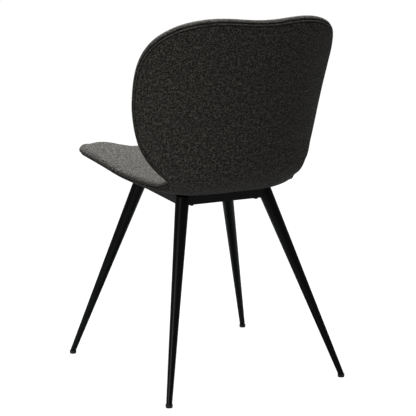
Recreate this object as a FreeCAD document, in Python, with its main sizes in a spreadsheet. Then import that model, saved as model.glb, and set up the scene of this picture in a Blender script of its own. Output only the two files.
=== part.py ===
"""Upholstered dining chair on four splayed, tapered steel legs.

Millimetres, +Z up, the sitter faces -Y, the sitter's left is +X.
The origin is on the floor, under the middle of the chair's own box.
"""
import FreeCAD
import Part
import Sketcher
import math
import os

Vector = FreeCAD.Vector
os.makedirs("parts", exist_ok=True)
doc = FreeCAD.newDocument("dining_chair")
sheet = doc.addObject("Spreadsheet::Sheet", "sizes")

SIZES = (
    # Feet, measured where a leg's axis meets the floor
    ("front_foot_spread", 482.0), ("rear_foot_spread", 452.0),
    ("front_foot_back", -220.82), ("rear_foot_back", 257.18),
    # Steel frame: a tilted rectangle of square tube
    ("frame_front", -93.82), ("frame_rear", 102.18),
    ("frame_front_width", 225.0), ("frame_rear_width", 217.0),
    ("frame_height", 420.0), ("seat_tilt", 5.0),
    ("rail_side", 20.0), ("rail_wall", 1.5),
    # Legs: round tube that tapers to the floor
    ("leg_foot_diameter", 13.0), ("leg_top_diameter", 32.6), ("leg_wall", 2.2),
    ("glide_height", 6.5), ("glide_diameter", 16.4), ("glide_plug_length", 16.0),
    ("glide_clearance", 0.1),
    # Screws between frame and shell
    ("screw_spread", 168.0), ("screw_diameter", 6.0), ("screw_length", 41.0),
    ("screw_head_diameter", 10.6), ("screw_head_height", 3.2), ("screw_clearance", 0.2),
    ("washer_diameter", 13.0), ("washer_thickness", 1.2),
    ("bush_diameter", 18.0), ("insert_diameter", 9.6), ("insert_length", 7.4),
    # Shell: profile of the sheet half way through the rim, on the centre line
    ("shell_gap", 1.5), ("waist_radius", 99.0), ("seat_front", -271.82),
    ("back_length", 320.5), ("back_lean", 9.5), ("back_bow", 5.5),
    # Shell: flat outline of that sheet
    ("shell_width", 552.0), ("front_corner", 140.0), ("top_corner", 193.0),
    ("top_dip", 11.0), ("top_dip_width", 90.0),
    # Shell: layers, counted from the sheet half way through the rim
    ("rim_half", 11.0), ("cover_thickness", 1.4), ("layer_gap", 0.3),
    ("plywood_thickness", 9.0), ("plywood_inset", 5.0),
    ("seat_crown", 17.0), ("back_crown", 12.0), ("crown_reach", 90.0), ("corner_reach", 60.0),
    ("front_round", 15.0), ("rear_round", 20.0), ("seam_turn", 74.0),
    ("seat_join", 452.0), ("join_gap", 0.4), ("join_depth", 7.0),
)
for row, (alias, number) in enumerate(SIZES, 1):
    sheet.set("A%d" % row, alias)
    sheet.set("B%d" % row, str(number))
    sheet.setAlias("B%d" % row, alias)
doc.recompute()


def size(alias):
    return float(sheet.get(alias))


# Half width of the flat outline as a share of shell_width, by distance along the sheet.
WIDTH_STATIONS = ((-40, 0.436), (125, 0.436), (200, 0.425), (281, 0.388), (348, 0.348),
                  (400, 0.318), (430, 0.309), (452, 0.315), (472, 0.335), (497, 0.38),
                  (519, 0.417), (540, 0.444), (561, 0.463), (604, 0.486), (646, 0.498),
                  (700, 0.5), (900, 0.5))
# Radius of the sheet's sideways curl, by distance along the sheet.
CURL_STATIONS = ((-40, 760), (120, 690), (200, 720), (280, 880), (350, 800), (430, 441),
                 (472, 338), (497, 299), (540, 283), (600, 290), (650, 300), (690, 312),
                 (731, 329), (773, 358), (816, 420), (900, 470))
# How far the sideways curl moves out to the edges: 0 is an even curve, more is a flatter middle.
FLAT_STATIONS = ((-40, 0), (120, 0.3), (280, 1.8), (350, 3.0), (390, 3.0), (430, 1.6),
                 (480, 0.4), (520, 0), (900, 0))
SCREW_CORNERS = ((-1, "frame_rear"), (1, "frame_rear"), (-1, "frame_front"), (1, "frame_front"))
SIDES = (("left", 1), ("right", -1))
# A leg is turned in four lengths, which keeps each cone short.
LEG_SHARES = (0.0, 0.25, 0.5, 0.75, 1.0)


def station(table, along):
    """Smooth value between stations, without overshoot."""
    last = len(table) - 2
    spot = 0
    while spot < last and along > table[spot + 1][0]:
        spot += 1

    def slope(k):
        return (table[k + 1][1] - table[k][1]) / (table[k + 1][0] - table[k][0])

    def tangent(k):
        if k == 0 or k == len(table) - 1:
            return 0.0
        before = slope(k - 1)
        after = slope(k)
        if before * after <= 0:
            return 0.0
        return 2.0 * before * after / (before + after)

    low, high = table[spot], table[spot + 1]
    span = high[0] - low[0]
    t = min(max((along - low[0]) / span, 0.0), 1.0)
    return (low[1] * (2 * t**3 - 3 * t**2 + 1) + high[1] * (3 * t**2 - 2 * t**3)
            + tangent(spot) * span * (t**3 - 2 * t**2 + t)
            + tangent(spot + 1) * span * (t**3 - t**2))


def ease(t):
    t = min(max(t, 0.0), 1.0)
    return t * t * (3 - 2 * t)


# ---- the sheet that every layer of the shell follows ----
tilt = math.radians(size("seat_tilt"))
frame_top = size("frame_height") + size("rail_side") / 2 / math.cos(tilt)
waist_back = size("frame_rear") + 1.0
waist_height = frame_top + size("shell_gap") + size("rim_half") / math.cos(tilt)
seat_run = (waist_back - size("seat_front")) / math.cos(tilt)
upright = math.pi / 2 - math.radians(size("back_lean"))
waist_run = size("waist_radius") * (upright + tilt)
sheet_run = seat_run + waist_run + size("back_length")
bow = math.radians(size("back_bow")) / size("back_length")
width_scale = size("shell_width")
front_start = size("front_corner") - 10.0
top_start = sheet_run - size("top_corner")


def centre_line(along):
    """Point (y, z) on the centre line of the sheet."""
    radius = size("waist_radius")
    centre_y = waist_back + radius * math.sin(tilt)
    centre_z = waist_height + radius * math.cos(tilt)
    turn = min(max((along - seat_run) / radius, 0.0), upright + tilt) - tilt
    y = centre_y + radius * math.sin(turn)
    z = centre_z - radius * math.cos(turn)
    before = min(along - seat_run, 0.0)
    past = max(along - seat_run - waist_run, 0.0)
    y += before * math.cos(tilt) + (math.sin(upright) - math.sin(upright - bow * past)) / bow
    z += -before * math.sin(tilt) + (math.cos(upright - bow * past) - math.cos(upright)) / bow
    return y, z


def on_sheet(along, across):
    """Point on the sheet from its flat coordinates."""
    y, z = centre_line(along)
    curl = station(CURL_STATIONS, along)
    flat = station(FLAT_STATIONS, along)
    reach = station(WIDTH_STATIONS, along) * width_scale
    step = across / 12
    x = 0.0
    rise = 0.0
    for k in range(12):
        spot = (k + 0.5) * step
        angle = spot / curl * (flat + 2) / 2 * (abs(spot) / reach) ** flat
        x += step * math.cos(angle)
        rise += step * math.sin(angle)
    lean = -tilt + (math.pi / 2 + tilt) * ease((along - 366.0) / 124.0)
    return Vector(x, y - rise * math.sin(lean), z + rise * math.cos(lean))


def directions(along, across):
    """Unit vectors along, across and off the sheet (towards the sitter)."""
    step = 0.5
    down = on_sheet(along + step, across) - on_sheet(along - step, across)
    side = on_sheet(along, across + step) - on_sheet(along, across - step)
    off = side.cross(down)
    return down.normalize(), side.normalize(), off.normalize()


def half_width(along):
    width = station(WIDTH_STATIONS, along) * width_scale
    front = min(max((front_start - along) / size("front_corner"), 0.0), 1.0)
    top = min(max((along - top_start) / size("top_corner"), 0.0), 1.0)
    return width * (1 - front**2.4) ** (1 / 2.4) * (1 - top**3.3) ** (1 / 3.3)


def dipped(along, across):
    """The top edge sinks a little at its middle."""
    share = ease((along - top_start) / size("top_corner"))
    return along - size("top_dip") * share * math.exp(-(across / size("top_dip_width")) ** 2)


def flat_outline():
    """Right half then left half of the outline, as (along, across) points."""
    half = []
    for k in range(0, 49):
        half.append(front_start - size("front_corner") * math.cos(math.pi / 2 * k / 48))
    for k in range(1, 80):
        half.append(front_start + (top_start - front_start) * k / 80)
    for k in range(0, 61):
        half.append(top_start + size("top_corner") * math.sin(math.pi / 2 * k / 60))
    right = [(dipped(a, half_width(a)), half_width(a)) for a in half]
    left = [(a, -w) for a, w in reversed(right)]
    return right + left[1:-1]


OUTLINE = flat_outline()


def rim_foot(along, across):
    """Nearest outline point, its outward direction and the depth inside it."""
    best = None
    for k, (a, w) in enumerate(OUTLINE):
        gap = (a - along) ** 2 + (w - across) ** 2
        if best is None or gap < best[0]:
            best = (gap, k)
    k = best[1]
    before, here, after = OUTLINE[k - 1], OUTLINE[k], OUTLINE[(k + 1) % len(OUTLINE)]
    run = (after[0] - before[0], after[1] - before[1])
    length = math.hypot(*run)
    run = (run[0] / length, run[1] / length)
    out = (-run[1], run[0])
    ahead = (along - here[0]) * run[0] + (across - here[1]) * run[1]
    ahead = max(min(ahead, 6.0), -6.0)
    foot = (here[0] + run[0] * ahead, here[1] + run[1] * ahead)
    depth = (foot[0] - along) * out[0] + (foot[1] - across) * out[1]
    return foot, out, depth


def front_height(along, foot, depth):
    """Height of the front padding above the sheet, with the crease where the covers join.

    The padding gains its height sooner at the two front corners of the seat.
    """
    lift = ease((along - 380.0) / 140.0)
    crown = size("seat_crown") + (size("back_crown") - size("seat_crown")) * lift
    corner = ease((abs(foot[1]) / size("shell_width") - 0.163) / 0.145) * (1 - ease((foot[0] - 50.0) / 150.0))
    reach = size("crown_reach") + (size("corner_reach") - size("crown_reach")) * corner
    height = size("rim_half") + crown * ease(depth / reach)
    crease = size("join_depth") * (0.2 + 0.8 * ease(depth / 50.0))
    return height - crease * math.exp(-((along - size("seat_join")) / 16.0) ** 2)


def pad_surface(along, across, front, inward, grow, turn):
    """Padding's surface on one side; near the outline it turns over the rim by turn degrees."""
    foot, out, depth = rim_foot(along, across)
    reach = size("front_round") if front else size("rear_round")
    sign = 1 if front else -1
    if depth >= reach:
        rise = front_height(along, foot, depth) if front else size("rim_half")
        return level(along, across, sign * (rise - inward))
    down, side, off = directions(*foot)
    outward = (down * out[0] + side * out[1]).normalize()
    rise = front_height(foot[0], foot, reach) if front else size("rim_half")
    angle = math.radians(turn) * (reach - depth) / (reach + grow)
    return (on_sheet(*foot) + outward * ((reach - inward) * math.sin(angle) - reach)
            + off * (sign * (rise - inward) * math.cos(angle)))


def level(along, across, height):
    """Point at a set height over the sheet."""
    return on_sheet(along, across) + directions(along, across)[2] * height


# ---- grids over the outline ----
def half_outline(grow):
    """Right half of the outline moved outwards by grow, front to top."""
    moved = []
    for k in range(len(OUTLINE) // 2 + 1):
        before, here, after = OUTLINE[k - 1], OUTLINE[k], OUTLINE[(k + 1) % len(OUTLINE)]
        run = (after[0] - before[0], after[1] - before[1])
        length = math.hypot(*run)
        moved.append((here[0] - run[1] / length * grow, here[1] + run[0] / length * grow))
    return moved


def spread(line, shares):
    """Points along a polyline at shares of its length."""
    lengths = [0.0]
    for a, b in zip(line, line[1:]):
        lengths.append(lengths[-1] + math.dist(a, b))
    points = []
    k = 0
    for share in shares:
        target = share * lengths[-1]
        while k < len(line) - 2 and lengths[k + 1] < target:
            k += 1
        t = (target - lengths[k]) / (lengths[k + 1] - lengths[k])
        points.append((line[k][0] + (line[k + 1][0] - line[k][0]) * t,
                       line[k][1] + (line[k + 1][1] - line[k][1]) * t))
    return points


def crowd(count, ends):
    """Shares from 0 to 1, closer together towards the ends named."""
    shares = []
    for k in range(count + 1):
        t = k / count
        dense = 0.5 - 0.5 * math.cos(math.pi * t)
        if ends == "first":
            dense = 1 - math.cos(math.pi / 2 * t)
        if ends == "last":
            dense = math.sin(math.pi / 2 * t)
        shares.append(0.3 * t + 0.7 * dense)
    return shares


def flat_grid(grow, first, last, columns, rows):
    """Flat points in rows: a blend of the four edges of the area between first and last."""
    half = half_outline(grow)
    corner_front = [k for k, p in enumerate(half) if p[1] > 0.72 * size("shell_width") * 0.436][0]
    corner_top = [k for k, p in enumerate(half) if p[1] > 0.72 * size("shell_width") * 0.5][-1]
    side = half[corner_front:corner_top + 1]
    low_edge = half[:corner_front + 1]
    high_edge = half[corner_top:][::-1]
    ends = "both"
    if last is not None:
        side = [p for p in half[corner_front:] if p[0] < last - 1.0]
        side.append((last, half_width(last) + grow))
        high_edge = [(last, 0.0), side[-1]]
        ends = "first"
    if first is not None:
        side = [p for p in half[:corner_top + 1] if p[0] > first + 1.0]
        side.insert(0, (first, half_width(first) + grow))
        low_edge = [(first, 0.0), side[0]]
        ends = "last"
    across = crowd(columns, "both")
    shares = [abs(2 * u - 1) for u in across]
    order = sorted(set(shares))
    low = dict(zip(order, spread(low_edge, order)))
    high = dict(zip(order, spread(high_edge, order)))
    along = crowd(rows, ends)
    sides = spread(side, along)
    grid = []
    for v, rim in zip(along, sides):
        line = []
        for u, share in zip(across, shares):
            sign = 1 if u > 0.5 else -1
            a = (1 - v) * low[share][0] + v * high[share][0] + rim[0]
            a -= (1 - v) * side[0][0] + v * side[-1][0]
            w = (1 - v) * low[share][1] * sign + v * high[share][1] * sign
            w += (2 * u - 1) * (rim[1] - (1 - v) * side[0][1] - v * side[-1][1])
            line.append((a, w))
        grid.append(line)
    return grid


def layer(lower, upper, fitted):
    """Closed solid between two grids of points, fitted within 0.05 mm or met exactly."""
    skins = []
    for points in (lower, upper):
        surface = Part.BSplineSurface()
        if fitted:
            surface.approximate(Points=points, DegMin=3, DegMax=6, Tolerance=0.05, Continuity=2)
        else:
            surface.interpolate(points)
        skins.append(surface)
    faces = [skin.toShape() for skin in skins]
    edges = []
    for skin in skins:
        u0, u1, v0, v1 = skin.bounds()
        edges.append([skin.uIso(u0).toShape(), skin.uIso(u1).toShape(),
                      skin.vIso(v0).toShape(), skin.vIso(v1).toShape()])
    for low_edge, high_edge in zip(*edges):
        faces.append(Part.makeRuledSurface(low_edge, high_edge))
    shell = Part.Shell(faces)
    shell.sewShape()
    solid = Part.Solid(shell)
    if solid.Volume < 0:
        solid.reverse()
    return solid


# ---- helpers for the steel frame ----
def of_size(alias, factor=1.0):
    """A sketch distance bound to one sheet value."""
    return size(alias) * factor, "sizes.%s * %g" % (alias, factor)


def new_body(name):
    body = doc.addObject("PartDesign::Body", name)
    body.Label = name
    return body


def outline_sketch(body, name, role, loops):
    """Closed straight-sided loops; every coordinate is a plain number or a bound distance."""
    sketch = body.newObject("Sketcher::SketchObject", name)
    plane = [f for f in body.Origin.OriginFeatures if f.Role == role][0]
    sketch.AttachmentSupport = [(plane, "")]
    sketch.MapMode = "FlatFace"
    for loop in loops:
        first = sketch.GeometryCount
        flat = [[c if isinstance(c, tuple) else (c, "") for c in point] for point in loop]
        spots = [Vector(point[0][0], point[1][0], 0) for point in flat]
        for k, spot in enumerate(spots):
            sketch.addGeometry(Part.LineSegment(spot, spots[(k + 1) % len(spots)]))
        for k in range(len(spots)):
            following = first + (k + 1) % len(spots)
            sketch.addConstraint(Sketcher.Constraint("Coincident", first + k, 2, following, 1))
        for k, point in enumerate(flat):
            for kind, axis, (number, text) in (("DistanceX", -2, point[0]), ("DistanceY", -1, point[1])):
                if abs(number) < 1e-9:
                    sketch.addConstraint(Sketcher.Constraint("PointOnObject", first + k, 1, axis))
                    continue
                spot = sketch.addConstraint(Sketcher.Constraint(kind, -1, 1, first + k, 1, number))
                if text:
                    sketch.setExpression("Constraints[%d]" % spot, text)
    return sketch


def turned(body, name, points):
    """Solid of revolution about the body's own Z axis."""
    sketch = outline_sketch(body, name + "_section", "XZ_Plane", [points])
    spin = body.newObject("PartDesign::Revolution", name + "_turned")
    spin.Profile = sketch
    spin.ReferenceAxis = (sketch, ["V_Axis"])
    spin.Angle = 360.0
    spin.Refine = False
    return spin


def on_frame(across, back, lift):
    """Placement on the tilted frame; back is measured level, lift square to the frame."""
    height = size("frame_height") + (size("frame_rear") - back) * math.tan(tilt)
    base = Vector(across, back + lift * math.sin(tilt), height + lift * math.cos(tilt))
    return FreeCAD.Placement(base, FreeCAD.Rotation(Vector(1, 0, 0), -size("seat_tilt")))


def cut(name, base, tools):
    """Boolean difference of a base and one or more tools."""
    tool = tools[0]
    if len(tools) > 1:
        tool = doc.addObject("Part::MultiFuse", name + "_tools")
        tool.Shapes = tools
    result = doc.addObject("Part::Cut", name)
    result.Label = name
    result.Base = base
    result.Tool = tool
    return result


def solid_feature(name, shape):
    feature = doc.addObject("Part::Feature", name)
    feature.Label = name
    feature.Shape = shape
    return feature


def group_at(name, master, placements):
    """One node made of separate copies of a master shape."""
    copies = []
    for placement in placements:
        copy = master.copy()
        copy.Placement = placement.multiply(master.Placement)
        copies.append(copy)
    return solid_feature(name, Part.Compound(copies))


# ---- legs ----
nodes = []
half_side = size("rail_side") / 2
floor_trim = doc.addObject("Part::Box", "floor_trim")
floor_trim.Length = 900
floor_trim.Width = 900
floor_trim.Height = 60
floor_trim.Placement.Base = Vector(-450, -450, size("glide_height") - 60)
top_trim = doc.addObject("Part::Box", "top_trim")
top_trim.Length = 500
top_trim.Width = 600
top_trim.Height = 80
middle = (size("frame_front") + size("frame_rear")) / 2
top_trim.Placement = on_frame(0, middle, half_side).multiply(
    FreeCAD.Placement(Vector(-250, -300, 0), FreeCAD.Rotation()))

cones = []
for end in ("front", "rear"):
    for side, sign in SIDES:
        name = "leg_%s_%s" % (end, side)
        foot = Vector(sign * size(end + "_foot_spread") / 2, size(end + "_foot_back"), 0)
        crown = on_frame(sign * size("frame_%s_width" % end) / 2, size("frame_" + end), 0).Base
        axis = crown - foot
        length = axis.Length + 26.0
        stance = FreeCAD.Placement(foot, FreeCAD.Rotation(Vector(0, 0, 1), axis))

        tube = new_body(name + "_tube")
        inner_foot = size("leg_foot_diameter") / 2 - size("leg_wall")
        outside = []
        inside = []
        for share in LEG_SHARES:
            text = "sizes.leg_foot_diameter * %g + sizes.leg_top_diameter * %g" % (
                (1 - share) / 2, share / 2)
            radius = size("leg_foot_diameter") / 2 * (1 - share) + size("leg_top_diameter") / 2 * share
            outside.append(((radius, text), share * length))
            inside.append(((radius - size("leg_wall"), text + " - sizes.leg_wall"), share * length))
        turned(tube, name, outside + inside[::-1])
        tube.Placement = stance
        nodes.append(cut(name, tube, [floor_trim, top_trim]))

        cone = doc.addObject("Part::Cone", name + "_cope")
        cone.setExpression("Radius1", "sizes.leg_foot_diameter / 2")
        cone.setExpression("Radius2", "sizes.leg_top_diameter / 2")
        cone.Height = length
        cone.Placement = stance
        cones.append(cone)

        glide_name = "glide_%s_%s" % (end, side)
        plug = doc.addObject("Part::Cylinder", glide_name + "_plug")
        plug.Radius = inner_foot - size("glide_clearance")
        plug.Height = size("glide_plug_length") + size("glide_height")
        plug.Placement = stance
        plug_top = cut(glide_name + "_plug_top", plug, [floor_trim])
        cap = doc.addObject("Part::Cone", glide_name + "_cap")
        cap.setExpression("Radius1", "sizes.glide_diameter / 2 - 0.7")
        cap.setExpression("Radius2", "sizes.glide_diameter / 2")
        cap.setExpression("Height", "sizes.glide_height")
        cap.Placement.Base = foot + Vector(axis.x, axis.y, 0) * (size("glide_height") / axis.z)
        glide = doc.addObject("Part::Fuse", glide_name)
        glide.Label = glide_name
        glide.Base = cap
        glide.Tool = plug_top
        nodes.append(glide)

# ---- rails ----
bore = [(half_side - size("rail_wall"), "sizes.rail_side / 2 - sizes.rail_wall")] * 2
skin = [of_size("rail_side", 0.5)] * 2


def square(distance):
    number, text = distance
    minus = (-number, "-(%s)" % text)
    return [(minus, minus), (distance, minus), (distance, distance), (minus, distance)]


def rail_body(name, role, length, hollow):
    body = new_body(name)
    loops = [square(skin[0])]
    if hollow:
        loops.append(square(bore[0]))
    sketch = outline_sketch(body, name + "_section", role, loops)
    pad = body.newObject("PartDesign::Pad", name + "_pad")
    pad.Profile = sketch
    pad.Length = length
    pad.SideType = "Symmetric"
    return body


solid_rails = []
screw_hole = size("screw_diameter") / 2 + size("screw_clearance")
for end in ("front", "rear"):
    placement = on_frame(0, size("frame_" + end), 0)
    length = size("frame_%s_width" % end)
    tube = rail_body(end + "_rail_tube", "YZ_Plane", length, True)
    tube.Placement = placement
    filled = rail_body(end + "_rail_filled", "YZ_Plane", length, False)
    filled.Placement = placement
    solid_rails.append(filled)
    holes = []
    for sign in (-1, 1):
        hole = doc.addObject("Part::Cylinder", "%s_rail_hole_%d" % (end, sign + 2))
        hole.setExpression("Radius", "sizes.screw_diameter / 2 + sizes.screw_clearance")
        hole.Height = size("rail_side") + 4
        hole.Placement = on_frame(sign * size("screw_spread") / 2, size("frame_" + end), -half_side - 2)
        holes.append(hole)
    nodes.append(cut(end + "_rail", tube, cones + holes))
for side, sign in SIDES:
    run = (size("frame_rear") - size("frame_front")) / math.cos(tilt)
    narrowing = (size("frame_front_width") - size("frame_rear_width")) / 2
    across = sign * (size("frame_front_width") + size("frame_rear_width")) / 4
    skew = FreeCAD.Rotation(Vector(0, 0, 1), sign * math.degrees(math.atan2(narrowing, run)))
    tube = rail_body(side + "_rail_tube", "XZ_Plane", math.hypot(run, narrowing), True)
    tube.Placement = on_frame(across, middle, 0).multiply(FreeCAD.Placement(Vector(), skew))
    nodes.append(cut(side + "_rail", tube, cones + solid_rails))

# ---- shell layers ----
cover = size("cover_thickness")
gap = size("layer_gap")
plywood = size("plywood_thickness") / 2
seam_turn = size("seam_turn")
join = size("seat_join")


def sheet_layer(grow, first, last, rows, lower, upper):
    """Layer of the shell between two distances along the sheet."""
    whole = first is None and last is None
    grid = flat_grid(grow, first, last, 20 if whole else 16, rows)
    low = [[lower(a, w) for a, w in line] for line in grid]
    high = [[upper(a, w) for a, w in line] for line in grid]
    return layer(low, high, whole)


def padded_face(front, inward, grow, turn):
    return lambda a, w: pad_surface(a, w, front, inward, grow, turn)


def level_face(height):
    return lambda a, w: level(a, w, height)


shell_layers = {}
shell_layers["plywood_shell"] = sheet_layer(
    -size("plywood_inset"), None, None, 40, level_face(-plywood), level_face(plywood))
shell_layers["rear_wadding"] = sheet_layer(
    -4.0, None, None, 40, padded_face(False, cover + gap, -4.0, 55.0), level_face(-plywood - gap))
shell_layers["outer_cover"] = sheet_layer(
    0.0, None, None, 40, padded_face(False, 0.0, 0.0, seam_turn),
    padded_face(False, cover, 0.0, seam_turn))
halves = (("seat", None, join - size("join_gap") / 2), ("back", join + size("join_gap") / 2, None))
for part, first, last in halves:
    shell_layers[part + "_foam"] = sheet_layer(
        -1.5, first, last, 24, level_face(plywood + gap),
        padded_face(True, cover + gap, -1.5, 52.0))
    shell_layers[part + "_cover"] = sheet_layer(
        0.0, first, last, 24, padded_face(True, cover, 0.0, seam_turn),
        padded_face(True, 0.0, 0.0, seam_turn))

# ---- screws, washers, bushes and inserts between frame and shell ----
screw_radius = size("screw_diameter") / 2
head_radius = size("screw_head_diameter") / 2
head_height = size("screw_head_height")
screw = new_body("screw_master")
turned(screw, "screw_master", [
    (0.0, 0.0), (0.0, size("screw_length")), (of_size("screw_diameter", 0.5), size("screw_length")),
    (of_size("screw_diameter", 0.5), 0.0), (of_size("screw_head_diameter", 0.5), 0.0),
    (of_size("screw_head_diameter", 0.5), -0.3 * head_height),
    (of_size("screw_head_diameter", 0.34), -head_height), (0.0, -head_height)])
socket = doc.addObject("Part::Prism", "screw_socket")
socket.Polygon = 6
socket.Circumradius = 2.3
socket.Height = 2.0
socket.Placement.Base = Vector(0, 0, -head_height)
screw_shape = cut("screw_with_socket", screw, [socket])
doc.recompute()

screw_places = []
washer_places = []
insert_places = []
bushes = []
clearance_radius = screw_radius + size("screw_clearance")
for sign, end in SCREW_CORNERS:
    across = sign * size("screw_spread") / 2
    under = -half_side - size("washer_thickness")
    screw_places.append(on_frame(across, size(end), under))
    washer_places.append(on_frame(across, size(end), under))
    along = (size(end) - size("seat_front")) / math.cos(tilt)
    flat_across = across
    for k in range(6):
        down, side_way, off = directions(along, flat_across)
        underside = on_sheet(along, flat_across) - off * size("rim_half")
        flat_across += across - underside.x
    seat_on = on_frame(across, size(end), half_side)
    frame_normal = seat_on.Rotation.multVec(Vector(0, 0, 1))
    bush_height = (underside - seat_on.Base).dot(frame_normal)
    slope = math.asin(off.x)
    bush = Part.makeCylinder(size("bush_diameter") / 2, bush_height + 6.0)
    bush = bush.cut(Part.makeCylinder(clearance_radius, bush_height + 6.0))
    lid = Part.makeBox(60, 60, 30, Vector(-30, -30, 0))
    lid.Placement = FreeCAD.Placement(
        Vector(0, 0, bush_height), FreeCAD.Rotation(Vector(0, 1, 0), math.degrees(slope)))
    bush = bush.cut(lid)
    bush.Placement = seat_on
    bushes.append(bush)
    to_sheet = half_side + bush_height + size("rim_half") / math.cos(slope)
    insert_places.append(on_frame(across, size(end), to_sheet - size("insert_length") / 2))

washer = Part.makeCylinder(size("washer_diameter") / 2, size("washer_thickness"))
washer = washer.cut(Part.makeCylinder(clearance_radius, size("washer_thickness")))
insert = Part.makeCylinder(size("insert_diameter") / 2, size("insert_length"))
insert = insert.cut(Part.makeCylinder(screw_radius + 0.05, size("insert_length")))
nodes.append(group_at("frame_screws", screw_shape.Shape, screw_places))
nodes.append(group_at("screw_washers", washer, washer_places))
nodes.append(group_at("threaded_inserts", insert, insert_places))
nodes.append(solid_feature("spacer_bushes", Part.Compound(bushes)))

for name, shape in shell_layers.items():
    nodes.append(solid_feature(name, shape))

# ---- check and write ----
doc.recompute()
for item in doc.Objects:
    if "Invalid" in item.State or "Error" in item.State:
        raise RuntimeError("%s failed to rebuild" % item.Name)
for item in nodes:
    shape = item.Shape
    if shape.isNull() or not shape.isValid() or not shape.Solids:
        raise RuntimeError("%s has no valid shape" % item.Label)
    shape.exportStep("parts/%s.step" % item.Label)
    print("%-18s solids %d  volume %10.0f" % (item.Label, len(shape.Solids), shape.Volume))
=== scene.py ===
"""Upholstered dining chair: cloth-covered shell on a black steel frame.

The scene is in metres. The shell's own sizes are in millimetres.
"""
import bpy
import bmesh
import math
from mathutils import Matrix, Vector, noise


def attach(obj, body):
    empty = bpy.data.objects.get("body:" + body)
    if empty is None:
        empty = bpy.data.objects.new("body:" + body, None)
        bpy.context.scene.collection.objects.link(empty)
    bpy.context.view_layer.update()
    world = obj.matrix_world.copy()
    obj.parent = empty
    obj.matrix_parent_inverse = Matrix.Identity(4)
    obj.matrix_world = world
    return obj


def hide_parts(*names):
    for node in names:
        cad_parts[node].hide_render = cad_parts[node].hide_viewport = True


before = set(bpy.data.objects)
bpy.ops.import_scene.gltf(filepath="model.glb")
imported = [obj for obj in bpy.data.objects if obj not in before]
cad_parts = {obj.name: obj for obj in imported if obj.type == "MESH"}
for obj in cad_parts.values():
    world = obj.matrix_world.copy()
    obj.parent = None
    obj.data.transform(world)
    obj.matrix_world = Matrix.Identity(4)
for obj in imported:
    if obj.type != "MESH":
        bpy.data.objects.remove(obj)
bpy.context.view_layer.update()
scene = bpy.context.scene
MM = 0.001

# ---- sizes of the padded shell, in millimetres ----
TILT = math.radians(5.0)
UPRIGHT = math.radians(90.0 - 9.5)
WAIST_RADIUS = 99.0
WAIST_BACK = 103.18
SEAT_FRONT = -271.82
FRAME_HEIGHT = 420.0
RAIL_HALF = 10.0
SHELL_GAP = 1.5
RIM_HALF = 11.0
FRAME_TOP = FRAME_HEIGHT + RAIL_HALF / math.cos(TILT)
WAIST_HEIGHT = FRAME_TOP + SHELL_GAP + RIM_HALF / math.cos(TILT)
SEAT_RUN = (WAIST_BACK - SEAT_FRONT) / math.cos(TILT)
WAIST_RUN = WAIST_RADIUS * (UPRIGHT + TILT)
BACK_RUN = 320.5
SHEET_RUN = SEAT_RUN + WAIST_RUN + BACK_RUN
BOW = math.radians(5.5) / BACK_RUN
SHELL_WIDTH = 552.0
FRONT_CORNER = 140.0
TOP_CORNER = 193.0
FRONT_START = FRONT_CORNER - 10.0
TOP_START = SHEET_RUN - TOP_CORNER
TOP_DIP = 11.0
TOP_DIP_WIDTH = 90.0
JOIN = 452.0
FRONT_ROUND = 15.0
REAR_ROUND = 20.0

# ---- padding and seams: millimetres, and degrees round the rim ----
SEAT_CROWN = 17.0
BACK_CROWN_LESS = 5.0
CORNER_CROWN_MORE = 1.5
CROWN_REACH = 90.0
CORNER_REACH_LESS = 44.0
CREASE_DEPTH = 9.0
CREASE_WIDTH = 9.0
SEAM = 136.0
SEAM_DEPTH = 4.0
FELL = 24.5
FELL_DEPTH = 1.7
STITCH_TURN = 29.5
STITCH_PITCH = 4.4
CLOTH_THICKNESS = 0.0014

# ---- stations along the sheet: half width as a share, curl radius, flatness of the middle ----
WIDTHS = ((-40, 0.436), (125, 0.436), (200, 0.425), (281, 0.388), (348, 0.348),
          (400, 0.318), (430, 0.309), (452, 0.315), (472, 0.335), (497, 0.38),
          (519, 0.417), (540, 0.444), (561, 0.463), (604, 0.486), (646, 0.498),
          (700, 0.5), (900, 0.5))
CURLS = ((-40, 760), (120, 690), (200, 720), (280, 880), (350, 800), (430, 441),
         (472, 338), (497, 299), (540, 283), (600, 290), (650, 300), (690, 312),
         (731, 329), (773, 358), (816, 420), (900, 470))
FLATS = ((-40, 0), (120, 0.3), (280, 1.8), (350, 3.0), (390, 3.0), (430, 1.6),
         (480, 0.4), (520, 0), (900, 0))


def between(table, along):
    """Smooth value between stations, without overshoot."""
    last = len(table) - 2
    spot = 0
    while spot < last and along > table[spot + 1][0]:
        spot += 1

    def tangent(k):
        if k == 0 or k == len(table) - 1:
            return 0.0
        before = (table[k][1] - table[k - 1][1]) / (table[k][0] - table[k - 1][0])
        after = (table[k + 1][1] - table[k][1]) / (table[k + 1][0] - table[k][0])
        if before * after <= 0:
            return 0.0
        return 2.0 * before * after / (before + after)

    low, high = table[spot], table[spot + 1]
    span = high[0] - low[0]
    t = min(max((along - low[0]) / span, 0.0), 1.0)
    return (low[1] * (2 * t**3 - 3 * t**2 + 1) + high[1] * (3 * t**2 - 2 * t**3)
            + tangent(spot) * span * (t**3 - 2 * t**2 + t)
            + tangent(spot + 1) * span * (t**3 - t**2))


def ease(t):
    t = min(max(t, 0.0), 1.0)
    return t * t * (3 - 2 * t)


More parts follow.
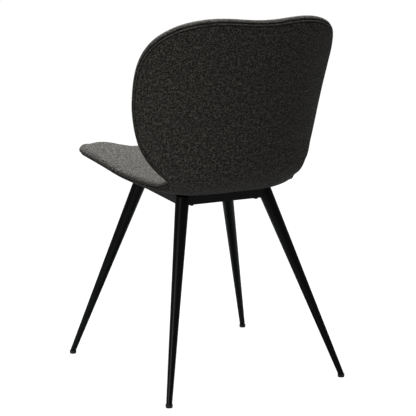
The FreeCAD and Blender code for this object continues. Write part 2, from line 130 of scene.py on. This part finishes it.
# ---- the curved sheet that the padding follows ----
def centre_line(along):
    turn = min(max((along - SEAT_RUN) / WAIST_RADIUS, 0.0), UPRIGHT + TILT) - TILT
    y = WAIST_BACK + WAIST_RADIUS * (math.sin(TILT) + math.sin(turn))
    z = WAIST_HEIGHT + WAIST_RADIUS * (math.cos(TILT) - math.cos(turn))
    before = min(along - SEAT_RUN, 0.0)
    past = max(along - SEAT_RUN - WAIST_RUN, 0.0)
    y += before * math.cos(TILT) + (math.sin(UPRIGHT) - math.sin(UPRIGHT - BOW * past)) / BOW
    z += -before * math.sin(TILT) + (math.cos(UPRIGHT - BOW * past) - math.cos(UPRIGHT)) / BOW
    return y, z


def on_sheet(along, across):
    y, z = centre_line(along)
    curl = between(CURLS, along)
    flat = between(FLATS, along)
    reach = between(WIDTHS, along) * SHELL_WIDTH
    step = across / 12
    x = 0.0
    rise = 0.0
    for k in range(12):
        spot = (k + 0.5) * step
        angle = spot / curl * (flat + 2) / 2 * (abs(spot) / reach) ** flat
        x += step * math.cos(angle)
        rise += step * math.sin(angle)
    lean = -TILT + (math.pi / 2 + TILT) * ease((along - 366.0) / 124.0)
    return Vector((x, y - rise * math.sin(lean), z + rise * math.cos(lean)))


def directions(along, across):
    """Unit vectors along, across and off the sheet, towards the sitter."""
    down = on_sheet(along + 0.5, across) - on_sheet(along - 0.5, across)
    side = on_sheet(along, across + 0.5) - on_sheet(along, across - 0.5)
    return down.normalized(), side.normalized(), side.cross(down).normalized()


def half_width(along):
    front = min(max((FRONT_START - along) / FRONT_CORNER, 0.0), 1.0)
    top = min(max((along - TOP_START) / TOP_CORNER, 0.0), 1.0)
    width = between(WIDTHS, along) * SHELL_WIDTH
    return width * (1 - front**2.4) ** (1 / 2.4) * (1 - top**3.3) ** (1 / 3.3)


def rim_line():
    """Right half of the flat outline, front middle to top middle."""
    stops = [FRONT_START - FRONT_CORNER * math.cos(math.pi / 2 * k / 96) for k in range(97)]
    stops += [FRONT_START + (TOP_START - FRONT_START) * k / 160 for k in range(1, 160)]
    stops += [TOP_START + TOP_CORNER * math.sin(math.pi / 2 * k / 120) for k in range(121)]
    line = []
    for along in stops:
        across = half_width(along)
        share = ease((along - TOP_START) / TOP_CORNER)
        dip = TOP_DIP * share * math.exp(-(across / TOP_DIP_WIDTH) ** 2)
        line.append((along - dip, across))
    return line


RIM = rim_line()
RUN = [0.0]
for here, there in zip(RIM, RIM[1:]):
    RUN.append(RUN[-1] + math.dist(here, there))
OUT = []
for k in range(len(RIM)):
    before = RIM[k - 1] if k else (RIM[1][0], -RIM[1][1])
    after = RIM[k + 1] if k < len(RIM) - 1 else (RIM[k - 1][0], -RIM[k - 1][1])
    step = Vector((after[0] - before[0], after[1] - before[1])).normalized()
    OUT.append((-step.y, step.x))


def rim_at(run):
    """Flat point and outward direction at a length along the rim; negative is the left half."""
    sign = -1 if run < 0 else 1
    target = min(abs(run), RUN[-1] - 1e-6)
    low, high = 0, len(RUN) - 1
    while high - low > 1:
        mid = (low + high) // 2
        if RUN[mid] <= target:
            low = mid
        else:
            high = mid
    t = (target - RUN[low]) / (RUN[high] - RUN[low])
    along = RIM[low][0] + (RIM[high][0] - RIM[low][0]) * t
    across = RIM[low][1] + (RIM[high][1] - RIM[low][1]) * t
    out = Vector((OUT[low][0] + (OUT[high][0] - OUT[low][0]) * t,
                  OUT[low][1] + (OUT[high][1] - OUT[low][1]) * t)).normalized()
    return (along, sign * across), (out.x, sign * out.y)


def nearest_rim(along, across):
    """Nearest point of the rim and the distance to it, on the flat sheet."""
    across = abs(across)
    gap, foot = min(((a - along) ** 2 + (w - across) ** 2, (a, w)) for a, w in RIM[::3])
    return foot, math.sqrt(gap)


def run_of(test):
    return [r for r, p in zip(RUN, RIM) if test(p)]


CORNER_FRONT = run_of(lambda p: p[1] > 173.0)[0]
CORNER_TOP = run_of(lambda p: p[1] > 199.0)[-1]
JOIN_RUN = run_of(lambda p: p[0] > JOIN)[0]


def padding(along, foot, depth):
    """Height of the front padding: fuller at the corners, creased between seat and back."""
    crown = SEAT_CROWN - BACK_CROWN_LESS * ease((along - 380.0) / 140.0)
    corner = ease((abs(foot[1]) - 90.0) / 80.0) * (1 - ease((foot[0] - 50.0) / 150.0))
    reach = CROWN_REACH - CORNER_REACH_LESS * corner
    height = RIM_HALF + (crown + CORNER_CROWN_MORE * corner) * ease(depth / reach)
    crease = CREASE_DEPTH * (0.2 + 0.8 * ease(depth / 50.0))
    return height - crease * math.exp(-(abs(along - JOIN) / CREASE_WIDTH) ** 1.4)


def soft(place, size, strength):
    """Slow unevenness of hand-pulled cloth."""
    return strength * noise.noise(place * (1.0 / size))


def rim_place(run, angle, front, inward):
    """Point on the rounded rim; 0 degrees faces out of the sheet, 90 is the rim itself."""
    foot, out = rim_at(run)
    down, side, off = directions(*foot)
    outward = (down * out[0] + side * out[1]).normalized()
    rise = padding(foot[0], foot, FRONT_ROUND) if front and angle < 90 else RIM_HALF
    reach = FRONT_ROUND if front and angle < 90 else REAR_ROUND
    sign = 1 if front else -1
    turn = math.radians(angle)
    return (on_sheet(*foot) + outward * ((reach - inward) * math.sin(turn) - reach)
            + off * (sign * (rise - inward) * math.cos(turn)))


def face_place(along, across, front):
    """Point on the padding away from the rim."""
    off = directions(along, across)[2]
    base = on_sheet(along, across)
    foot, depth = nearest_rim(along, across)
    height = padding(along, foot, depth) if front else RIM_HALF
    height += soft(base, 70.0, 1.1) * ease((depth - 10.0) / 40.0)
    return base + off * (height if front else -height)


def flat_place(u, t, part, inset):
    """Flat point of a grid: u from -1 to 1 across, t from 0 at the seat's front or the join."""
    if part == "seat":
        run = CORNER_FRONT + (JOIN_RUN - CORNER_FRONT) * t
        ends = (0.0, CORNER_FRONT)
        share = (1 - t) ** 1.3
        edge = CORNER_FRONT
    else:
        run = JOIN_RUN + (CORNER_TOP - JOIN_RUN) * t
        ends = (RUN[-1], CORNER_TOP)
        share = t ** 1.3
        edge = CORNER_TOP

    def inner(length):
        point, out = rim_at(length)
        return point[0] - out[0] * inset, point[1] - out[1] * inset

    side = inner(run)
    corner = inner(edge)
    lip = inner(ends[0] + (ends[1] - ends[0]) * abs(u))
    along = side[0] + share * (lip[0] - corner[0])
    across = abs(u) * side[1] + share * (lip[1] - abs(u) * corner[1])
    return along, math.copysign(across, u) if u else 0.0


COLUMNS = 60
SEAT_ROWS = 40
BACK_ROWS = 40


def padded_skin(front):
    """One side of the padding as a grid, its edge carried on over the rim in rings."""
    bm = bmesh.new()
    rows = SEAT_ROWS + BACK_ROWS
    bmesh.ops.create_grid(bm, x_segments=COLUMNS, y_segments=rows, size=1.0)
    inset = FRONT_ROUND if front else REAR_ROUND
    # painted shade: this attribute darkens the cloth's colour in the seam grooves and the seat-back
    # crease
    shade = bm.verts.layers.float.new("seam_shade")
    held = bm.verts.layers.float.new("held")
    cloth = {}
    runs = {}
    for vert in bm.verts:
        i = round((vert.co.x + 1) / 2 * COLUMNS)
        j = round((vert.co.y + 1) / 2 * rows)
        u = 2 * i / COLUMNS - 1
        if j <= SEAT_ROWS:
            part, t = "seat", 1 - (1 - j / SEAT_ROWS) ** 2.0
            run = CORNER_FRONT + (JOIN_RUN - CORNER_FRONT) * t
        else:
            part, t = "back", ((j - SEAT_ROWS) / BACK_ROWS) ** 2.0
            run = JOIN_RUN + (CORNER_TOP - JOIN_RUN) * t
        flat = flat_place(u, t, part, inset)
        if j == 0:
            run = CORNER_FRONT * abs(u)
        if j == rows:
            run = RUN[-1] + (CORNER_TOP - RUN[-1]) * abs(u)
        if vert.is_boundary:
            runs[vert] = math.copysign(run, u) if u else run
        cloth[vert] = flat
        vert.co = face_place(flat[0], flat[1], front)
        crease = math.exp(-((flat[0] - JOIN) / 5.0) ** 2)
        # painted shade along the crease where the seat meets the back
        vert[shade] = crease if front else 0.0
        vert[held] = crease if front else 1 - ease((flat[0] - 470.0) / 60.0)
    if front:
        angles = (9, 18, 27, 36, 45, 54, 63, 72, 81, 90, 99, 107, 114,
                  120, 125, 129, 132, 134, 135.5)
        seam = SEAM
    else:
        angles = (5, 10, 14, 17, 19.5, 21.5, 23, 24, 25, 26, 27.5, 29.5,
                  32, 35, 38, 40.5, 42, 43.2, 43.8)
        seam = 180 - SEAM
    edges = [edge for edge in bm.edges if edge.is_boundary]
    arc = 0.0
    last = 0.0
    for angle in angles + (seam,):
        made = bmesh.ops.extrude_edge_only(bm, edges=edges)["geom"]
        fresh = [g for g in made if isinstance(g, bmesh.types.BMVert)]
        edges = [g for g in made if isinstance(g, bmesh.types.BMEdge)]
        arc += math.radians(angle - last) * (16.0 if front else 18.0)
        last = angle
        inward = 1.5 * math.exp(-((angle - seam) / 5.0) ** 2)
        if angle == seam:
            inward = SEAM_DEPTH
        if not front:
            inward += FELL_DEPTH * math.exp(-((angle - FELL) / 1.7) ** 2)
            inward -= 0.5 * math.exp(-((angle - 33.0) / 6.0) ** 2)
        onward = {}
        for vert in fresh:
            source = [e.other_vert(vert) for e in vert.link_edges if e.other_vert(vert) in runs][0]
            run = runs[source]
            onward[vert] = run
            foot, out = rim_at(run)
            cloth[vert] = (foot[0] + out[0] * (arc - inset), foot[1] + out[1] * (arc - inset))
            # painted shade along the seam groove round the rim
            vert[shade] = math.exp(-((angle - seam) / 5.5) ** 2)
            vert[held] = ease((angle - 60.0) / 50.0) if front else 1.0
            # painted shade along the felled seam's groove on the outer cover
            if not front:
                vert[shade] += math.exp(-((angle - FELL) / 3.2) ** 2)
            vert.co = rim_place(run, angle, front, inward)
        runs = onward
    bmesh.ops.recalc_face_normals(bm, faces=bm.faces)
    middle = min(bm.faces, key=lambda f: (f.calc_center_median() - on_sheet(250.0, 0.0)).length)
    facing = middle.normal.dot(directions(250.0, 0.0)[2])
    if (facing > 0) != front:
        bmesh.ops.reverse_faces(bm, faces=bm.faces)
    layer = bm.loops.layers.uv.new("cloth")
    for face in bm.faces:
        face.smooth = True
        for loop in face.loops:
            flat = cloth[loop.vert]
            loop[layer].uv = (flat[1] * MM, flat[0] * MM)
    bmesh.ops.scale(bm, vec=(MM, MM, MM), verts=bm.verts)
    return bm


def piece_from(bm, name, finish, nodes=()):
    """Object made from a mesh, riding on the chair."""
    mesh = bpy.data.meshes.new(name)
    bm.to_mesh(mesh)
    bm.free()
    piece = bpy.data.objects.new(name, mesh)
    scene.collection.objects.link(piece)
    mesh.materials.append(finish)
    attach(piece, "root")
    if nodes:
        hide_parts(*nodes)
    return piece


def eased_out(piece, pressure, most):
    """Short cloth simulation: the cover swells between its held seams, by `most` millimetres."""
    mesh = piece.data
    group = piece.vertex_groups.new(name="held")
    for k, entry in enumerate(mesh.attributes["held"].data):
        if entry.value > 0.02:
            group.add([k], min(entry.value, 1.0), "REPLACE")
    cloth = piece.modifiers.new("ease", "CLOTH")
    cloth.settings.quality = 6
    cloth.settings.mass = 0.25
    cloth.settings.tension_stiffness = 12.0
    cloth.settings.compression_stiffness = 12.0
    cloth.settings.shear_stiffness = 5.0
    cloth.settings.bending_stiffness = 0.4
    cloth.settings.shrink_min = -0.012
    cloth.settings.use_pressure = True
    cloth.settings.uniform_pressure_force = pressure
    cloth.settings.vertex_group_mass = "held"
    cloth.settings.effector_weights.gravity = 0.0
    last = 20
    cloth.point_cache.frame_start = 1
    cloth.point_cache.frame_end = last
    first = scene.frame_current
    for moment in range(1, last + 1):
        scene.frame_set(moment)
    settled = piece.evaluated_get(bpy.context.evaluated_depsgraph_get())
    moves = [new.co - old.co for new, old in zip(settled.data.vertices, mesh.vertices)]
    piece.modifiers.remove(cloth)
    scene.frame_set(first)
    longest = max(move.length for move in moves)
    share = min(1.0, most * MM / max(longest, 1e-9))
    for vert, move in zip(mesh.vertices, moves):
        vert.co += move * share


def backed(piece):
    """One level of smoothing, then the cloth's thickness."""
    smooth = piece.modifiers.new("smooth", "SUBSURF")
    smooth.levels = 1
    smooth.render_levels = 1
    wall = piece.modifiers.new("wall", "SOLIDIFY")
    wall.thickness = CLOTH_THICKNESS
    wall.offset = -1.0


# ---- shader building ----
class Amount:
    """A socket that works in plain arithmetic."""

    def __init__(self, finish, socket):
        self.finish = finish
        self.socket = socket

    def maths(self, operation, first, second=None):
        values = {0: first} if second is None else {0: first, 1: second}
        return self.finish.node("ShaderNodeMath", {"operation": operation}, values)

    def __add__(self, other):
        return self.maths("ADD", self, other)

    def __mul__(self, other):
        return self.maths("MULTIPLY", self, other)

    def sine(self):
        return self.maths("SINE", self)


class Finish:
    """One material and its nodes."""

    def __init__(self, name):
        self.material = bpy.data.materials.new(name)
        self.material.use_nodes = True
        self.tree = self.material.node_tree
        self.tree.nodes.clear()

    def node(self, kind, settings, sockets, output=0):
        made = self.tree.nodes.new(kind)
        for key, setting in settings.items():
            if key == "stops":
                ramp = made.color_ramp.elements
                for extra in setting[2:]:
                    ramp.new(extra[0])
                for stop, (place, grey) in zip(ramp, setting):
                    stop.position = place
                    stop.color = (grey, grey, grey, 1.0)
            else:
                setattr(made, key, setting)
        for key, given in sockets.items():
            if isinstance(given, Amount):
                self.tree.links.new(given.socket, made.inputs[key])
            else:
                made.inputs[key].default_value = given
        return Amount(self, made.outputs[output])

    def place(self, kind):
        return self.node("ShaderNodeTexCoord", {}, {}, kind)

    def grain(self, vector, scale, detail=2.0, rough=0.5):
        return self.node("ShaderNodeTexNoise", {}, {
            "Vector": vector, "Scale": scale, "Detail": detail, "Roughness": rough})

    def mark(self, name):
        return self.node("ShaderNodeAttribute", {"attribute_name": name}, {}, "Fac")

    def ramp(self, amount, stops):
        return self.node("ShaderNodeValToRGB", {"stops": stops}, {0: amount})

    def blend(self, amount, first, second):
        return self.node("ShaderNodeMix", {"data_type": "RGBA"}, {0: amount, 6: first, 7: second}, 2)

    def relief(self, height, strength, distance):
        return self.node("ShaderNodeBump", {}, {
            "Height": height, "Strength": strength, "Distance": distance})

    def close(self, sockets):
        shader = self.node("ShaderNodeBsdfPrincipled", {}, sockets)
        output = self.tree.nodes.new("ShaderNodeOutputMaterial")
        self.tree.links.new(shader.socket, output.inputs["Surface"])
        return self.material


def grey(value, warm=0.0):
    return (value * (1 + warm), value, value * (1 - warm), 1.0)


def wool_cloth():
    """Charcoal melange cloth: mixed dark and light yarns in a plain weave, with painted shade
    darkening its seam grooves and the seat-back crease.
    """
    finish = Finish("charcoal_wool_cloth")
    spot = finish.place("UV")
    split = finish.tree.nodes.new("ShaderNodeSeparateXYZ")
    finish.tree.links.new(spot.socket, split.inputs[0])
    across = Amount(finish, split.outputs[0])
    along = Amount(finish, split.outputs[1])
    wander = finish.grain(spot, 260.0, 2.0) * 1.3
    weft = (across * 3300.0 + wander).sine()
    warp = (along * 3300.0 + wander).sine()
    yarn = (weft * warp) * 0.5 + 0.5
    fleck = finish.grain(spot, 190.0, 4.0, 0.85)
    fine = finish.grain(spot, 420.0, 2.0, 0.7)
    broad = finish.grain(spot, 9.0, 2.0)
    mottle = finish.ramp(finish.grain(spot, 85.0, 3.0, 0.7), ((0.44, 0.0), (0.58, 1.0)))
    light = finish.ramp(fleck * 0.68 + fine * 0.32, ((0.46, 0.0), (0.56, 1.0)))
    pale = finish.ramp(finish.grain(spot, 330.0, 2.0, 0.7), ((0.56, 0.0), (0.65, 1.0)))
    dark = finish.ramp(finish.grain(spot, 280.0, 2.0, 0.7), ((0.52, 0.0), (0.60, 1.0)))
    base = finish.blend(light, (0.0042, 0.0038, 0.0034, 1.0), (0.0950, 0.0870, 0.0780, 1.0))
    base = finish.blend(pale * 0.85, base, (0.135, 0.120, 0.102, 1.0))
    base = finish.blend(dark * 0.75, base, (0.0026, 0.0025, 0.0025, 1.0))
    base = finish.blend(mottle * 0.36, base, (0.0035, 0.0032, 0.0030, 1.0))
    base = finish.blend(yarn * 0.3, base, (0.005, 0.0047, 0.0044, 1.0))
    base = finish.blend(broad * 0.25, base, (0.018, 0.0162, 0.0146, 1.0))
    # painted shade: cloth darkened to near black in the seam grooves and the seat-back crease
    base = finish.blend(finish.mark("seam_shade") * 0.92, base, (0.0012, 0.0011, 0.0010, 1.0))
    rough = fleck * 0.2 + 0.78
    bump = finish.relief(yarn * 0.5 + fleck * 1.2 + fine * 0.6, 0.7, 0.0013)
    return finish.close({
        "Base Color": base, "Roughness": rough, "Normal": bump,
        "Sheen Weight": 0.03, "Sheen Roughness": 0.3, "Sheen Tint": (0.96, 0.96, 0.95, 1.0),
        "Specular IOR Level": 0.1})


def coated_steel():
    """Black powder coat: fine orange peel, slightly rubbed in random patches."""
    finish = Finish("black_powder_coat")
    spot = finish.place("Object")
    peel = finish.grain(spot, 1400.0, 2.0, 0.5)
    cloud = finish.grain(spot, 14.0, 3.0, 0.6)
    base = finish.blend(cloud, grey(0.0010), grey(0.0022))
    bump = finish.relief(peel, 0.12, 0.0004)
    return finish.close({
        "Base Color": base, "Roughness": cloud * 0.12 + 0.24, "Normal": bump,
        "Specular IOR Level": 0.1})


def moulded_plastic():
    """Black moulded glide with a fine grain and scuffs at the floor."""
    finish = Finish("black_moulded_plastic")
    spot = finish.place("Object")
    grain = finish.grain(spot, 2500.0, 2.0, 0.6)
    scuff = finish.ramp(finish.grain(spot, 420.0, 4.0, 0.7), ((0.56, 0.0), (0.72, 1.0)))
    base = finish.blend(scuff * 0.3, grey(0.008), grey(0.03))
    bump = finish.relief(grain, 0.2, 0.0003)
    return finish.close({
        "Base Color": base, "Roughness": scuff * 0.2 + 0.5, "Normal": bump,
        "Specular IOR Level": 0.3})


def blackened_screw():
    finish = Finish("black_oxide_screw")
    spot = finish.place("Object")
    cloud = finish.grain(spot, 300.0, 3.0, 0.6)
    base = finish.blend(cloud, grey(0.012), grey(0.03))
    return finish.close({
        "Base Color": base, "Roughness": cloud * 0.2 + 0.3, "Metallic": 0.6,
        "Normal": finish.relief(cloud, 0.1, 0.0003)})


def sewing_thread():
    finish = Finish("charcoal_thread")
    spot = finish.place("Object")
    twist = finish.grain(spot, 2600.0, 2.0, 0.5)
    base = finish.blend(twist, grey(0.014, 0.05), grey(0.04, 0.05))
    return finish.close({
        "Base Color": base, "Roughness": twist * 0.2 + 0.6,
        "Normal": finish.relief(twist, 0.3, 0.0003)})


def bare_plywood():
    finish = Finish("moulded_plywood")
    spot = finish.place("Object")
    rings = finish.grain(spot, 60.0, 4.0, 0.6)
    base = finish.blend(rings, (0.42, 0.27, 0.14, 1.0), (0.62, 0.45, 0.27, 1.0))
    return finish.close({
        "Base Color": base, "Roughness": rings * 0.2 + 0.55,
        "Normal": finish.relief(rings, 0.2, 0.0005)})


cloth_finish = wool_cloth()
steel_finish = coated_steel()
plastic_finish = moulded_plastic()
screw_finish = blackened_screw()
thread_finish = sewing_thread()
wood_finish = bare_plywood()

NODE_FINISHES = {
    "leg": steel_finish, "front_rail": steel_finish, "rear_rail": steel_finish,
    "left_rail": steel_finish, "right_rail": steel_finish, "glide": plastic_finish,
    "frame_screws": screw_finish, "screw_washers": screw_finish,
    "threaded_inserts": screw_finish, "spacer_bushes": plastic_finish,
    "plywood_shell": wood_finish,
}
for name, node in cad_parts.items():
    for start, finish in NODE_FINISHES.items():
        if name.startswith(start):
            node.data.materials.clear()
            node.data.materials.append(finish)

# ---- covers ----
front_skin = padded_skin(True)
halves = (("seat_pad", ("seat_cover", "seat_foam"), True),
          ("back_pad", ("back_cover", "back_foam"), False))
for name, nodes, keep_low in halves:
    part = front_skin.copy()
    layer = part.loops.layers.uv["cloth"]
    unwanted = []
    for face in part.faces:
        low = sum(loop[layer].uv.y for loop in face.loops) / len(face.loops) < JOIN * MM
        if low != keep_low:
            unwanted.append(face)
    bmesh.ops.delete(part, geom=unwanted, context="FACES")
    pad = piece_from(part, name, cloth_finish, nodes)
    eased_out(pad, 4.0, 3.0)
    backed(pad)
front_skin.free()
rear = piece_from(padded_skin(False), "outer_shell_cover", cloth_finish,
                  ("outer_cover", "rear_wadding"))
eased_out(rear, 1.0, 1.0)
backed(rear)


# ---- stitching ----
def stitch_row(bm, start, end, step, angle, lift):
    """Short stitches laid along the rim, each a small six-sided bead."""
    count = round((end - start) / step)
    for k in range(count):
        run = start + (end - start) * (k + 0.5) / count
        here = rim_place(run, angle, False, -lift)
        onward = rim_place(run + 1.0, angle, False, -lift)
        ahead = (onward - rim_place(run - 1.0, angle, False, -lift)).normalized()
        away = (rim_place(run, angle, False, -lift - 1.0) - here).normalized()
        beside = ahead.cross(away).normalized()
        turn = Matrix((beside * 0.42, away * 0.36, ahead * 1.55)).transposed().to_4x4()
        turn.translation = here
        bmesh.ops.create_uvsphere(bm, u_segments=6, v_segments=5, radius=1.0, matrix=turn)


thread = bmesh.new()
stitch_row(thread, -RUN[-1], RUN[-1], STITCH_PITCH, STITCH_TURN, 0.1)
for face in thread.faces:
    face.smooth = True
bmesh.ops.scale(thread, vec=(MM, MM, MM), verts=thread.verts)
piece_from(thread, "rim_topstitching", thread_finish)

# ---- rounded edges of the rails ----
for name in ("front_rail", "rear_rail", "left_rail", "right_rail"):
    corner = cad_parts[name].modifiers.new("rounded", "BEVEL")
    corner.width = 0.0014
    corner.segments = 3
    corner.limit_method = "ANGLE"
    corner.angle_limit = math.radians(40.0)


# ---- floor, lights, camera ----
floor_mesh = bpy.data.meshes.new("floor")
bm = bmesh.new()
bmesh.ops.create_grid(bm, x_segments=1, y_segments=1, size=30.0)
bm.to_mesh(floor_mesh)
bm.free()
floor = bpy.data.objects.new("floor", floor_mesh)
scene.collection.objects.link(floor)
floor_finish = Finish("pale_floor")
floor_mesh.materials.append(floor_finish.close({
    "Base Color": grey(0.055), "Roughness": 0.95, "Emission Color": grey(1.0),
    "Emission Strength": 1.0, "Specular IOR Level": 0.0}))
floor_tree = floor_finish.tree
shown = floor_tree.nodes["Principled BSDF"]
bounce = floor_tree.nodes.new("ShaderNodeBsdfDiffuse")
bounce.inputs["Color"].default_value = grey(0.24)
picked = floor_tree.nodes.new("ShaderNodeMixShader")
eye = floor_tree.nodes.new("ShaderNodeLightPath")
floor_tree.links.new(eye.outputs["Is Camera Ray"], picked.inputs[0])
floor_tree.links.new(bounce.outputs[0], picked.inputs[1])
floor_tree.links.new(shown.outputs[0], picked.inputs[2])
floor_tree.links.new(picked.outputs[0], floor_tree.nodes["Material Output"].inputs["Surface"])

world = bpy.data.worlds.new("studio")
scene.world = world
world.use_nodes = True
studio = world.node_tree
studio.nodes.clear()
seen = studio.nodes.new("ShaderNodeBackground")
seen.inputs["Strength"].default_value = 1.05
seen.inputs["Color"].default_value = (1.0, 1.0, 1.0, 1.0)
lit = studio.nodes.new("ShaderNodeBackground")
lit.inputs["Strength"].default_value = 0.3
lit.inputs["Color"].default_value = (1.0, 1.0, 1.0, 1.0)
path = studio.nodes.new("ShaderNodeLightPath")
either = studio.nodes.new("ShaderNodeMixShader")
studio.links.new(path.outputs["Is Camera Ray"], either.inputs[0])
studio.links.new(lit.outputs[0], either.inputs[1])
studio.links.new(seen.outputs[0], either.inputs[2])
studio.links.new(either.outputs[0], studio.nodes.new("ShaderNodeOutputWorld").inputs["Surface"])


def soft_light(name, place, target, size, power, tint):
    lamp = bpy.data.lights.new(name, "AREA")
    lamp.shape = "SQUARE"
    lamp.size = size
    lamp.energy = power
    lamp.color = tint
    holder = bpy.data.objects.new(name, lamp)
    holder.location = place
    aim = Vector(target) - Vector(place)
    holder.rotation_euler = aim.to_track_quat("-Z", "Y").to_euler()
    scene.collection.objects.link(holder)


soft_light("overhead", (0.1, -0.5, 2.7), (0.0, 0.0, 0.45), 2.2, 350.0, (0.93, 0.97, 1.0))
soft_light("side", (3.6, 1.9, 1.7), (0.0, 0.0, 0.55), 1.2, 66.0, (1.0, 0.99, 0.97))

CAMERA_DISTANCE = 3.378
CAMERA_HEIGHT = 1.046
CAMERA_CENTRE = 0.0184
camera_data = bpy.data.cameras.new("camera")
camera_data.lens = 128.2
camera_data.sensor_width = 36.0
camera = bpy.data.objects.new("camera", camera_data)
turn = math.radians(150.85)
camera.location = (CAMERA_DISTANCE * math.sin(turn),
                   CAMERA_CENTRE - CAMERA_DISTANCE * math.cos(turn), CAMERA_HEIGHT)
yaw = turn - math.radians(0.065)
pitch = math.radians(11.22) - math.radians(0.027)
look = Vector((-math.sin(yaw) * math.cos(pitch), math.cos(yaw) * math.cos(pitch), -math.sin(pitch)))
camera.rotation_euler = look.to_track_quat("-Z", "Y").to_euler()
scene.collection.objects.link(camera)
scene.camera = camera
scene.view_settings.view_transform = "Standard"
